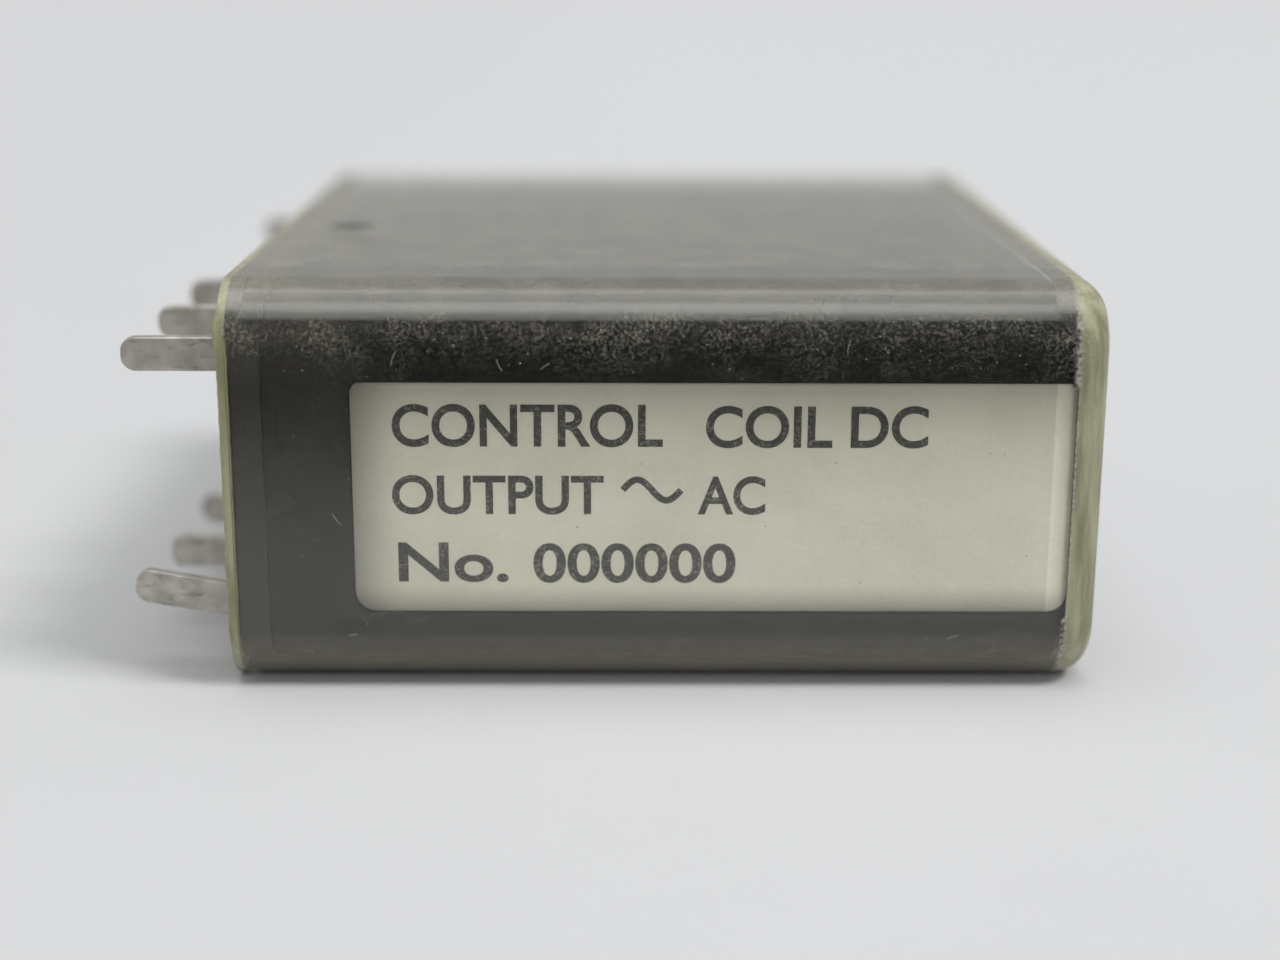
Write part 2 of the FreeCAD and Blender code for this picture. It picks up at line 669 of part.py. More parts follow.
os.makedirs("parts", exist_ok=True)
for make in SINGLE:
    make().exportStep(f"parts/{make.__name__}.step")
for name, make in PAIRED.items():
    upper = make()
    upper.exportStep(f"parts/{name}_upper.step")
    flipped(upper).exportStep(f"parts/{name}_lower.step")
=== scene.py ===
import json
import math
import random

import bmesh
import bpy
from mathutils import Matrix, Vector, noise


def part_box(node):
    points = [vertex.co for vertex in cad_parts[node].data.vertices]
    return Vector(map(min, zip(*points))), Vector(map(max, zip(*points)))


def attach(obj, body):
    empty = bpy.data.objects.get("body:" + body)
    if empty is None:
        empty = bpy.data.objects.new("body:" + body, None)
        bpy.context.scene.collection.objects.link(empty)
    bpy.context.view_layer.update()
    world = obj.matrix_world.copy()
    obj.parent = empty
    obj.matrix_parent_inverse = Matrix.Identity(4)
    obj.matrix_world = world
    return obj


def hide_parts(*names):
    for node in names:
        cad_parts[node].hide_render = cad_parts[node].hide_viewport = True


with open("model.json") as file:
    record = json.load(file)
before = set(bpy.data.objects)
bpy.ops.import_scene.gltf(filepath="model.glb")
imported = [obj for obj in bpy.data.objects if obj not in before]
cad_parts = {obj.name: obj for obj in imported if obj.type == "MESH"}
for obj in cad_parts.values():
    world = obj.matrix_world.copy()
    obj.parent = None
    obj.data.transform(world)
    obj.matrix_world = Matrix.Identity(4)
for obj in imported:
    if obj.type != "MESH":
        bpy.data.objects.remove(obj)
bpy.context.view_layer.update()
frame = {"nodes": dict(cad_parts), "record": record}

MM = 0.001
HOUSING = "housing"
NODES = frame["nodes"]

# ---- places, in millimetres, taken from the frame ----


def box_mm(node):
    """Lowest and highest corner of a CAD node, in millimetres."""
    low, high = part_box(node)
    return low / MM, high / MM


COVER_LOW, COVER_HIGH = box_mm("cover")
LABEL_LOW, LABEL_HIGH = box_mm("label")
SLEEVE_LOW, SLEEVE_HIGH = box_mm("inner_sleeve")
RESIN_LOW, RESIN_HIGH = box_mm("sealing_resin")
LABEL_FACE_Y = LABEL_LOW.y
FRONT_Y = COVER_LOW.y
WINDOW_TOP = LABEL_HIGH.z
FLOOR_Z = COVER_LOW.z
COVER_ROUND = 2.0
VENT_PLACE = (2.35, -2.56)
VENT_RADIUS = 0.7


# ---- material building ----
class Shader:
    """One material's node tree, built by short calls. Lengths are in millimetres."""

    def __init__(self, name):
        self.material = bpy.data.materials.new(name)
        self.material.use_nodes = True
        self.nodes = self.material.node_tree.nodes
        self.links = self.material.node_tree.links
        self.nodes.clear()
        place = self.nodes.new("ShaderNodeTexCoord").outputs["Object"]
        self.place = self.node("VectorMath", {"operation": "SCALE"}, Vector=place, Scale=1 / MM).outputs[0]
        parts = self.node("SeparateXYZ", Vector=self.place)
        self.x, self.y, self.z = parts.outputs

    def feed(self, socket, value):
        """Set an input from a number, a colour or another node's output."""
        if isinstance(value, bpy.types.NodeSocket):
            self.links.new(value, socket)
        elif isinstance(value, tuple) and socket.type == "RGBA":
            socket.default_value = (*value, 1.0)
        else:
            socket.default_value = value

    def node(self, kind, settings=None, **inputs):
        """A node with its settings and its inputs, whose spaces are written as underscores."""
        made = self.nodes.new("ShaderNode" + kind)
        for name, value in (settings or {}).items():
            setattr(made, name, value)
        for name, value in inputs.items():
            self.feed(made.inputs[name.replace("_", " ")], value)
        return made

    def math(self, operation, *values, clamp=False):
        made = self.node("Math", {"operation": operation, "use_clamp": clamp})
        for socket, value in zip(made.inputs, values):
            self.feed(socket, value)
        return made.outputs[0]

    def product(self, *values):
        total = values[0]
        for value in values[1:]:
            total = self.math("MULTIPLY", total, value)
        return total

    def total(self, *values):
        """The sum, held between 0 and 1."""
        result = values[0]
        for value in values[1:]:
            result = self.math("ADD", result, value, clamp=True)
        return result

    def ramp(self, value, low, high, start=0.0, end=1.0):
        """A smooth step from start to end as value goes from low to high."""
        made = self.node("MapRange", {"interpolation_type": "SMOOTHSTEP"}, Value=value)
        made.inputs["From Min"].default_value = low
        made.inputs["From Max"].default_value = high
        made.inputs["To Min"].default_value = start
        made.inputs["To Max"].default_value = end
        return made.outputs["Result"]

    def scaled_place(self, stretch):
        """The place, scaled per axis, so that a pattern runs along an axis."""
        made = self.node("VectorMath", {"operation": "MULTIPLY"})
        self.feed(made.inputs[0], self.place)
        made.inputs[1].default_value = stretch
        return made.outputs[0]

    def noise(self, size, detail=3.0, rough=0.55, stretch=(1.0, 1.0, 1.0)):
        """Cloudy noise from 0 to 1 whose blotches are about size across."""
        made = self.node("TexNoise", Vector=self.scaled_place(stretch), Scale=1 / size, Detail=detail)
        made.inputs["Roughness"].default_value = rough
        return made.outputs[0]

    def specks(self, spacing, radius, share, stretch=(1.0, 1.0, 1.0)):
        """Separate specks on a share of the cells of a random grid."""
        cells = self.node("TexVoronoi", Vector=self.scaled_place(stretch), Scale=1 / spacing)
        near = self.ramp(cells.outputs["Distance"], radius / spacing, 0.4 * radius / spacing)
        chance = self.node("SeparateColor", Color=cells.outputs["Color"]).outputs[0]
        return self.product(near, self.math("LESS_THAN", chance, share))

    def blend(self, factor, first, second):
        """A colour between two colours."""
        made = self.node("Mix", {"data_type": "RGBA"})
        self.feed(made.inputs[0], factor)
        self.feed(made.inputs[6], first)
        self.feed(made.inputs[7], second)
        return made.outputs[2]

    def bump(self, height, depth):
        """A normal from a height pattern; depth is in millimetres."""
        made = self.node("Bump", Height=height, Strength=1.0, Distance=depth * MM)
        return made.outputs[0]

    def surface(self, colour, roughness, normal=None, **more):
        made = self.node("BsdfPrincipled", Base_Color=colour, Roughness=roughness, **more)
        if normal is not None:
            self.feed(made.inputs["Normal"], normal)
        return made.outputs[0]

    def layered(self, factor, under, over):
        made = self.node("MixShader")
        self.feed(made.inputs[0], factor)
        self.feed(made.inputs[1], under)
        self.feed(made.inputs[2], over)
        return made.outputs[0]

    def mirrored(self, head_on, power=5.0):
        """The share a smooth surface mirrors: head_on when faced, all of it at a grazing angle."""
        geometry = self.node("NewGeometry")
        dot = self.node("VectorMath", {"operation": "DOT_PRODUCT"})
        self.feed(dot.inputs[0], geometry.outputs["Normal"])
        self.feed(dot.inputs[1], geometry.outputs["Incoming"])
        facing = self.math("ABSOLUTE", dot.outputs["Value"])
        away = self.math("POWER", self.math("SUBTRACT", 1.0, facing, clamp=True), power)
        return self.math("MULTIPLY_ADD", away, 1.0 - head_on, head_on, clamp=True)

    def normal_part(self, axis):
        """One component of the surface's direction."""
        geometry = self.node("NewGeometry")
        return self.node("SeparateXYZ", Vector=geometry.outputs["Normal"]).outputs[axis]

    def done(self, surface):
        self.node("OutputMaterial", Surface=surface)
        return self.material


def grey(level, warm=0.0):
    """A linear grey, made warmer or cooler by a small amount."""
    return (level * (1 + warm), level, level * (1 - warm))


# ---- materials ----
LINER_END = SLEEVE_HIGH.x
RESIN_TOP = RESIN_HIGH.x


def seen_beyond_liner(s, up, end):
    """Where the clear plastic looks solid: past the liner's ends, and where only its own colour shows."""
    # painted refraction: the black liner's image is drawn further out on top, as the thick rounded edge
    # would bend it outwards
    hidden_run = s.ramp(up, 0.2, 0.7, 0.0, 0.45)
    beside_label = s.product(
        s.ramp(s.z, LABEL_HIGH.z + 0.1, LABEL_HIGH.z - 0.1),
        s.ramp(s.z, LABEL_LOW.z - 0.1, LABEL_LOW.z + 0.1),
        0.16,
    )
    past = s.math("SUBTRACT", s.math("ADD", s.x, hidden_run), beside_label)
    past_liner = s.ramp(past, LINER_END - 0.41, LINER_END - 0.34)
    before_liner = s.ramp(s.math("SUBTRACT", s.x, hidden_run), RESIN_TOP + 0.08, RESIN_TOP + 0.02)
    ends = s.product(s.total(past_liner, before_liner), s.ramp(end, 0.97, 0.85), 0.97)
    right_colour = s.ramp(s.x, LINER_END - 0.3, LINER_END - 0.14)
    own_colour = s.total(right_colour, s.ramp(s.x, RESIN_TOP + 0.06, RESIN_TOP))
    return ends, own_colour


def end_colours(s, up, on_top, own_colour, fine):
    """The colour at the ends: yellowed streaks, painted black where the liner's refracted image reaches, a
    pale speckled line between.
    """
    streaks = s.noise(0.35, detail=4.0, stretch=(1.0, 1.0, 0.12))
    aged = s.blend(s.ramp(streaks, 0.3, 0.7), (0.17, 0.165, 0.085), (0.33, 0.325, 0.205))
    # painted refraction: the liner's black image drawn on the clear plastic, with a dust-grey version on top
    liner_image = s.blend(on_top, grey(0.012), (0.1, 0.096, 0.078))
    colour = s.blend(own_colour, liner_image, aged)
    # a pale speckled line along the liner's end, fading towards the top
    pale_line = s.product(s.ramp(fine, 0.4, 0.62), s.ramp(s.x, LINER_END - 0.36, LINER_END - 0.26))
    pale_line = s.product(pale_line, s.ramp(s.x, LINER_END - 0.1, LINER_END - 0.2), s.ramp(up, 0.8, 0.5), 0.8)
    return s.blend(pale_line, colour, (0.42, 0.415, 0.38))


def cover_dust(s, up, on_top, clouds, fine):
    """Dust: settled on the top, fading down the front, with painted shade cutting it back along the top's
    front edge; and its colour.
    """
    tiny = s.noise(0.065, detail=2.0)
    # painted shade: a dark band along the top's front edge, standing in for the rounded edge's reflection
    # and the liner's refracted edge
    front_band_shade = s.ramp(s.y, LABEL_LOW.y + 3.1, LABEL_LOW.y + 2.8, 1.0, 0.68)
    mottle = s.ramp(fine, 0.36, 0.64, 0.65, 1.35)
    vent = s.node("VectorMath", {"operation": "DISTANCE"}, Vector=s.place)
    vent.inputs[1].default_value = (*VENT_PLACE, COVER_HIGH.z)
    clean_ring = s.ramp(vent.outputs["Value"], VENT_RADIUS, VENT_RADIUS + 0.25)
    top_film = s.product(on_top, front_band_shade, mottle, s.ramp(clouds, 0.3, 0.75, 0.19, 0.29), clean_ring)
    patchy = s.ramp(clouds, 0.35, 0.65, 0.3, 1.0)
    grains = s.product(s.ramp(fine, 0.5, 0.66), s.ramp(s.z, 3.2, 5.0, 0.08, 1.0), 0.13)
    points = s.product(s.ramp(tiny, 0.5, 0.6), s.ramp(s.z, 2.9, 4.8, 0.15, 1.0), 0.24)
    front_dust = s.product(s.total(grains, points), patchy, s.ramp(up, 0.8, 0.5))
    flecks = s.total(s.specks(0.4, 0.035, 0.14), s.specks(1.1, 0.055, 0.2))
    haze = s.product(s.ramp(s.x, LABEL_LOW.x + 1.0, LABEL_LOW.x - 0.6), s.ramp(s.z, -3.0, 4.0, 0.002, 0.03))
    haze = s.total(haze, s.ramp(s.z, LABEL_LOW.z - 0.3, LABEL_LOW.z - 1.1, 0.0, 0.2))
    dark_flecks = s.product(s.total(s.specks(0.35, 0.05, 0.3), s.specks(0.9, 0.11, 0.12)), on_top)
    dust = s.total(top_film, front_dust, haze, s.product(flecks, 0.45), s.product(dark_flecks, 0.7))
    warm = s.blend(clouds, (0.45, 0.415, 0.315), (0.56, 0.525, 0.42))
    return dust, s.blend(s.product(dark_flecks, 0.85), warm, (0.06, 0.045, 0.035))


def clear_cover():
    """Clear plastic gone yellow with age, dusty on top, scuffed, with solid-looking edges and painted shade
    on its lower edge.
    """
    s = Shader("aged_clear_plastic")
    up = s.normal_part(2)
    end = s.math("ABSOLUTE", s.normal_part(0))
    outside = s.math("SUBTRACT", 1.0, s.node("NewGeometry").outputs["Backfacing"])
    on_top = s.ramp(up, 0.5, 0.82)
    clouds = s.noise(1.4, detail=4.0)
    fine = s.noise(0.12, detail=3.0)
    ends, own_colour = seen_beyond_liner(s, up, end)
    end_colour = end_colours(s, up, on_top, own_colour, fine)
    # painted shade: the lower edge turns dark olive over the liner, standing in for the shadow under the
    # overhang and the black liner seen through the plastic
    under = s.product(s.ramp(up, -0.42, -0.66), s.ramp(s.x, 0.35, 0.7), 0.93)
    solid = s.product(s.total(ends, under), outside)
    # the dark olive is the painted shade colour of the lower edge
    solid_colour = s.blend(ends, (0.028, 0.027, 0.017), end_colour)
    dust, dust_colour = cover_dust(s, up, on_top, clouds, fine)
    dust = s.product(dust, outside)
    # the dust lies over the solid parts
    share = s.math("SUBTRACT", s.math("ADD", dust, solid), s.product(dust, solid))
    colour = s.blend(s.math("DIVIDE", dust, share), solid_colour, dust_colour)
    ripple = s.bump(s.noise(2.1, detail=1.0), 0.003)
    scuffs = s.bump(s.math("ADD", fine, s.product(dust, 0.8)), 0.005)
    plain = s.node("BsdfTransparent", Color=(0.975, 0.972, 0.95)).outputs[0]
    film = s.surface(colour, s.ramp(clouds, 0.3, 0.7, 0.5, 0.75), scuffs)
    rough = s.total(0.05, s.product(dust, 0.25), s.product(on_top, 0.12))
    gloss = s.node("BsdfGlossy", Color=(1.0, 0.99, 0.96), Roughness=rough, Normal=ripple).outputs[0]
    body = s.layered(share, plain, film)
    dull = s.total(s.product(ends, own_colour), under)
    mirror = s.product(s.mirrored(0.04), s.ramp(dull, 0.0, 1.0, 1.0, 0.45))
    return s.done(s.layered(mirror, body, gloss))


def black_liner():
    """Glossy black moulding with fine dust and a few vertical tool lines."""
    s = Shader("black_liner_plastic")
    clouds = s.noise(2.5, detail=4.0)
    lines = s.noise(0.5, detail=1.0, stretch=(1.0, 0.05, 0.05))
    specks = s.specks(0.5, 0.04, 0.18)
    colour = s.blend(s.product(specks, 0.6), s.blend(clouds, grey(0.008), grey(0.013)), grey(0.2, 0.05))
    rough = s.ramp(clouds, 0.3, 0.7, 0.16, 0.3)
    normal = s.bump(s.math("ADD", lines, s.product(clouds, 0.5)), 0.002)
    return s.done(s.surface(colour, rough, normal, Specular_IOR_Level=0.2))


def black_base():
    """Matt black moulding for the base."""
    s = Shader("black_base_plastic")
    grain = s.noise(0.12, detail=2.0)
    colour = s.blend(s.noise(1.5), grey(0.012), grey(0.022))
    return s.done(s.surface(colour, s.ramp(grain, 0.3, 0.7, 0.35, 0.55), s.bump(grain, 0.006)))


def paper():
    """Aged white paper under the cover: fine fibres, faint stains, specks, edges in shadow."""
    s = Shader("aged_label_paper")
    fibres = s.noise(0.12, detail=4.0, stretch=(0.5, 1.0, 1.0))
    stains = s.noise(2.5, detail=5.0)
    specks = s.total(s.specks(1.1, 0.05, 0.35), s.specks(0.45, 0.025, 0.12))
    base = s.blend(s.ramp(stains, 0.35, 0.7), (0.84, 0.82, 0.73), (0.77, 0.75, 0.655))
    colour = s.blend(s.product(fibres, 0.35), base, (0.55, 0.54, 0.48))
    colour = s.blend(s.product(specks, 0.75), colour, (0.10, 0.085, 0.06))
    # the window's rim and the thick clear wall keep light off the label's edges
    left = s.ramp(s.x, LABEL_LOW.x - 0.3, LABEL_LOW.x + 1.7, 0.42, 1.0)
    top = s.product(
        s.ramp(s.z, LABEL_HIGH.z - 0.3, LABEL_HIGH.z - 1.9, 0.76, 1.0),
        s.ramp(s.z, LABEL_HIGH.z - 1.5, LABEL_HIGH.z - 4.2, 0.88, 1.0),
    )
    bottom = s.ramp(s.z, LABEL_LOW.z - 0.1, LABEL_LOW.z + 0.9, 0.48, 1.0)
    lit = s.product(left, top, bottom)
    # painted light: the label is brighter at its right end, where light comes in through the clear end wall
    lit = s.math("ADD", lit, s.ramp(s.x, LABEL_HIGH.x - 0.62, LABEL_HIGH.x - 0.56, 0.0, 0.2))
    shaded = s.node("VectorMath", {"operation": "SCALE"}, Vector=colour, Scale=lit)
    return s.done(s.surface(shaded.outputs[0], 0.75, s.bump(fibres, 0.01)))


def ink():
    """Printed ink, ragged and dotted like a worn stamp."""
    s = Shader("worn_print_ink")
    dots = s.noise(0.06, detail=2.0)
    wear = s.math("ADD", s.product(dots, 0.6), s.product(s.noise(0.4, detail=3.0), 0.4))
    shown = s.ramp(wear, 0.60, 0.46)
    colour = s.blend(dots, grey(0.03), grey(0.075))
    body = s.surface(colour, 0.6)
    bare = s.node("BsdfTransparent").outputs[0]
    return s.done(s.layered(s.total(s.product(shown, 0.6), 0.33), bare, body))


def resin():
    """Poured sealing resin: yellow-green, glossy, uneven, with dust stuck to it."""
    s = Shader("amber_sealing_resin")
    clouds = s.noise(0.9, detail=4.0)
    specks = s.specks(0.5, 0.06, 0.25)
    colour = s.blend(clouds, (0.26, 0.26, 0.125), (0.42, 0.415, 0.235))
    colour = s.blend(s.product(specks, 0.6), colour, (0.09, 0.08, 0.05))
    normal = s.bump(clouds, 0.02)
    rough = s.ramp(clouds, 0.3, 0.7, 0.18, 0.42)
    more = {"Subsurface_Weight": 0.3, "Subsurface_Scale": 0.4 * MM}
    return s.done(s.surface(colour, rough, normal, **more))


def tinned_pin():
    """Dull tinned copper alloy with brown oxide patches and drawn scratches."""
    s = Shader("tinned_pin_metal")
    patches = s.noise(0.7, detail=4.0)
    marks = s.noise(0.16, detail=3.0, stretch=(0.3, 1.0, 1.0))
    colour = s.blend(s.ramp(patches, 0.35, 0.65), (0.60, 0.57, 0.52), (0.44, 0.415, 0.375))
    colour = s.blend(s.ramp(marks, 0.55, 0.75, 0.0, 0.5), colour, (0.10, 0.09, 0.08))
    rough = s.ramp(marks, 0.3, 0.7, 0.38, 0.6)
    return s.done(s.surface(colour, rough, s.bump(marks, 0.006), Metallic=0.6))


def metal(name, dark, light, rough, scale=0.4, metallic=1.0):
    """A metal with blotches, fine drawn marks and an uneven polish."""
    s = Shader(name)
    blotches = s.noise(scale * 2, detail=3.0)
    marks = s.noise(scale * 0.25, detail=3.0, stretch=(0.2, 1.0, 1.0))
    colour = s.blend(blotches, dark, light)
    uneven = s.ramp(marks, 0.3, 0.7, rough * 0.75, rough * 1.3)
    return s.done(s.surface(colour, uneven, s.bump(marks, 0.004), Metallic=metallic))


def moulded(name, dark, light, rough):
    """A plain moulded plastic with a faint grain and flow marks."""
    s = Shader(name)
    flow = s.noise(3.0, detail=2.0, stretch=(1.0, 0.4, 1.0))
    grain = s.noise(0.1, detail=2.0)
    colour = s.blend(flow, dark, light)
    uneven = s.ramp(grain, 0.3, 0.7, rough * 0.85, rough * 1.15)
    return s.done(s.surface(colour, uneven, s.bump(grain, 0.004)))


def wound_copper():
    """Enamelled wire: turns side by side around the coil."""
    s = Shader("enamelled_copper_turns")
    turn = s.math("SINE", s.product(s.x, 2 * math.pi / 0.14))
    shade = s.noise(1.2, detail=3.0)
    colour = s.blend(shade, (0.42, 0.13, 0.05), (0.58, 0.22, 0.09))
    # painted shade: darker in the grooves between turns
    colour = s.blend(s.ramp(turn, -1.0, -0.2, 0.7, 0.0), colour, (0.08, 0.02, 0.01))
    return s.done(s.surface(colour, 0.3, s.bump(turn, 0.02), Metallic=0.8))


def floor_paper():
    """Pale matt backdrop with a faint mottle and painted shade: a little darker to the left."""
    s = Shader("pale_backdrop")
    # the ramp along x paints shade, darker to the left
    level = s.total(s.product(s.noise(9.0, detail=3.0), 0.5), s.ramp(s.x, -30.0, 20.0, 0.0, 0.5))
    colour = s.blend(level, (0.50, 0.50, 0.503), (0.535, 0.535, 0.54))
    return s.done(s.surface(colour, 0.9, s.bump(s.noise(0.5), 0.01)))


def fleck_material():
    """Pale lint and dust grains."""
    s = Shader("pale_lint")
    colour = s.blend(s.noise(0.3), (0.3, 0.28, 0.23), (0.5, 0.48, 0.42))
    return s.done(s.surface(colour, 0.8))


# ---- the CAD pieces ----
def paint_cad(materials):
    """Give each CAD node the material of its slot in the record."""
    for entry in frame["record"]["subparts"]:
        piece = NODES[entry["node"]]
        for slot in piece.material_slots:
            slot.material = materials[entry["material_slot"]]


# ---- pieces ----
def add_piece(name, mesh, material, body=HOUSING):
    """Put a mesh in the scene as a piece that rides on a body."""
    piece = bpy.data.objects.new(name, mesh)
    bpy.context.scene.collection.objects.link(piece)
    mesh.materials.clear()
    mesh.materials.append(material)
    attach(piece, body)
    return piece


def mesh_from(bm, name, smooth=True):
    """Finish a bmesh drawn in millimetres as a mesh in metres."""
    bmesh.ops.recalc_face_normals(bm, faces=bm.faces)
    bmesh.ops.scale(bm, vec=(MM, MM, MM), verts=bm.verts)
    mesh = bpy.data.meshes.new(name)
    bm.to_mesh(mesh)
    bm.free()
    for face in mesh.polygons:
        face.use_smooth = smooth
    return mesh


BEND_START = -0.1
BEND_RUN = 0.35
BEND_ANGLE = math.radians(10.0)
BEND_CUTS = 6


def bent(point, middle_z):
    """Where a point of the bent pin goes: the pin turns upwards just outside the resin."""
    beyond = BEND_START - point.x
    if beyond <= 0:
        return point
    radius = BEND_RUN / BEND_ANGLE
    turn = min(beyond, BEND_RUN) / radius
    straight = max(beyond - BEND_RUN, 0.0)
    offset = radius - (point.z - middle_z)
    x = BEND_START - offset * math.sin(turn) - straight * math.cos(turn)
    z = middle_z + radius - offset * math.cos(turn) + straight * math.sin(turn)
    return Vector((x, point.y, z))


def bent_pin(material):
    """The front pin of the lower row, bent upwards outside the body."""
    bm = bmesh.new()
    bm.from_mesh(NODES["no_terminal_lower"].data)
    bmesh.ops.scale(bm, vec=(1 / MM, 1 / MM, 1 / MM), verts=bm.verts)
    for i in range(BEND_CUTS + 1):
        cut = Vector((BEND_START - BEND_RUN * i / BEND_CUTS, 0, 0))
        everything = bm.verts[:] + bm.edges[:] + bm.faces[:]
        bmesh.ops.bisect_plane(bm, geom=everything, plane_co=cut, plane_no=(1, 0, 0))
    outside = [v.co.z for v in bm.verts if v.co.x < BEND_START]
    middle_z = (min(outside) + max(outside)) / 2
    for vertex in bm.verts:
        vertex.co = bent(vertex.co, middle_z)
    mesh = mesh_from(bm, "bent_no_terminal_lower", smooth=False)
    piece = add_piece("bent_no_terminal_lower", mesh, material)
    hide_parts("no_terminal_lower")


RESIN_INSET = 0.16
RESIN_STEPS = 640
RESIN_RINGS = 30
PIN_ROW_Z = 3.75
PIN_PLACES = [(y, z) for y in (-13.0, -8.0, -3.0, 12.0) for z in (PIN_ROW_Z, -PIN_ROW_Z)]
PIN_HALF_THICK = 0.2
PIN_HALF_WIDE = 0.5
DRIP_PLACE = (-14.2, 4.75)


def resin_height(y, z):
    """How far the resin stands out at a place on the seating face."""
    edge = min(COVER_HIGH.y - abs(y), COVER_HIGH.z - abs(z))
    lumps = noise.noise(Vector((y * 1.1, z * 1.1, 3.0)))
    bumps = noise.noise(Vector((y * 5.0, z * 5.0, 7.0)))
    bead = math.exp(-((edge - 0.4) / 0.3) ** 2)
    rise = 0.04 + 0.02 * lumps + bead * (0.03 + 0.02 * lumps + 0.03 * bumps)
    for pin_y, pin_z in PIN_PLACES:
        away_y = max(abs(y - pin_y) - PIN_HALF_THICK, 0.0)
        away_z = max(abs(z - pin_z) - PIN_HALF_WIDE, 0.0)
        rise += 0.12 * math.exp(-math.hypot(away_y, away_z) / 0.25)
    drip_y, drip_z = DRIP_PLACE
    drip = math.exp(-((y - drip_y) / 0.5) ** 2 - ((z - drip_z) / 0.55) ** 2)
    return max(rise, 0.012) + 0.09 * drip


def rounded_edge(step, steps, half_y, half_z, radius):
    """A point on a rounded rectangle's outline, walking round it in equal parts of its length."""
    straight_y = 2 * (half_y - radius)
    straight_z = 2 * (half_z - radius)
    arc = radius * math.pi / 2
    sides = [straight_y, arc, straight_z, arc, straight_y, arc, straight_z, arc]
    walk = step / steps * sum(sides)
    corners = [(1, 1), (1, -1), (-1, -1), (-1, 1)]
    place = 0
    while walk > sides[place]:
        walk -= sides[place]
        place += 1
    side, is_arc = divmod(place, 2)
    sign_y, sign_z = corners[side]
    centre = Vector((0, sign_y * (half_y - radius), sign_z * (half_z - radius)))
    if is_arc:
        start = math.pi / 2 - side * math.pi / 2
        angle = start - walk / radius
        return centre + radius * Vector((0, math.cos(angle), math.sin(angle)))
    outward = [Vector((0, 0, 1)), Vector((0, 1, 0)), Vector((0, 0, -1)), Vector((0, -1, 0))][side]
    along = [Vector((0, 1, 0)), Vector((0, 0, -1)), Vector((0, -1, 0)), Vector((0, 0, 1))][side]
    return centre + outward * radius - along * (sides[place] - walk)


def sealing_resin(material):
    """Resin poured over the seating face: level in the middle, creeping up the pins and the rim."""
    half_y = COVER_HIGH.y - RESIN_INSET
    half_z = COVER_HIGH.z - RESIN_INSET
    steps = RESIN_STEPS
    corner = COVER_ROUND - RESIN_INSET
    bm = bmesh.new()
    outline = [rounded_edge(i, steps, half_y, half_z, corner) for i in range(steps)]
    loops = []
    for ring in range(RESIN_RINGS):
        inset = (ring / RESIN_RINGS) ** 1.5
        loop = []
        for point in outline:
            middle = Vector((0, point.y * 0.6, 0))
            place = point.lerp(middle, inset)
            sink = 0.0 if ring else 0.06
            height = resin_height(place.y, place.z) * min(ring / 2, 1.0)
            loop.append(bm.verts.new((sink - height, place.y, place.z)))
        loops.append(loop)
    for outer, inner in zip(loops, loops[1:]):
        for i in range(steps):
            j = (i + 1) % steps
            bm.faces.new((outer[i], outer[j], inner[j], inner[i]))
    bm.faces.new(loops[-1])
    back = [bm.verts.new((RESIN_HIGH.x, v.co.y * 0.977, v.co.z * 0.94)) for v in loops[0]]
    for i in range(steps):
        j = (i + 1) % steps
        bm.faces.new((back[i], back[j], loops[0][j], loops[0][i]))
    bm.faces.new(back)
    piece = add_piece("poured_resin", mesh_from(bm, "poured_resin"), material)
    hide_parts("sealing_resin")


INK_THICK = 0.004
INK_GAP = 0.004
TYPE_DEPTH = 0.01
TYPE_WEIGHT = 0.02


def printed(name, words, left, right, bottom, top, material):
    """A line of print on the label, stretched to fill its place."""
    curve = bpy.data.curves.new(name, "FONT")
    curve.body = words
    curve.extrude = TYPE_DEPTH
    curve.offset = TYPE_WEIGHT
    text = bpy.data.objects.new(name + "_text", curve)
    bpy.context.scene.collection.objects.link(text)
    bpy.context.view_layer.update()
    mesh = bpy.data.meshes.new_from_object(text.evaluated_get(bpy.context.evaluated_depsgraph_get()))
    bpy.data.objects.remove(text)
    xs = [v.co.x for v in mesh.vertices]
    ys = [v.co.y for v in mesh.vertices]
    wide = (right - left) / (max(xs) - min(xs))
    high = (top - bottom) / (max(ys) - min(ys))
    deep = INK_THICK / (2 * TYPE_DEPTH)
    face = LABEL_FACE_Y - INK_GAP - INK_THICK
    for vertex in mesh.vertices:
        x, y, z = vertex.co
        place = (left + (x - min(xs)) * wide, face + (TYPE_DEPTH - z) * deep, bottom + (y - min(ys)) * high)
        vertex.co = Vector(place) * MM
    mesh.name = name
    return add_piece(name, mesh, material)


WAVE_STROKE = 0.2
WAVE_STEPS = 32


def wave_sign(name, left, right, middle, height, material):
    """The alternating-current sign: one flat wave of even width."""
    half = WAVE_STROKE / 2
    steps = WAVE_STEPS
    face = LABEL_FACE_Y - INK_GAP
    bm = bmesh.new()
    rows = []
    for i in range(steps + 1):
        t = i / steps
        x = left + (right - left) * t
        z = middle + height / 2 * math.sin(2 * math.pi * t)
        slope = math.pi * height / (right - left) * math.cos(2 * math.pi * t)
        side = Vector((-slope, 0, 1)).normalized() * half
        rows.append([
            bm.verts.new((x + sign * side.x, y, z + sign * side.z))
            for sign, y in ((1, face), (1, face - INK_THICK), (-1, face - INK_THICK), (-1, face))
        ])
    for first, second in zip(rows, rows[1:]):
        for i in range(4):
            j = (i + 1) % 4
            bm.faces.new((first[i], first[j], second[j], second[i]))
    bm.faces.new(rows[0])
    bm.faces.new(rows[-1])
    return add_piece(name, mesh_from(bm, name, smooth=False), material)


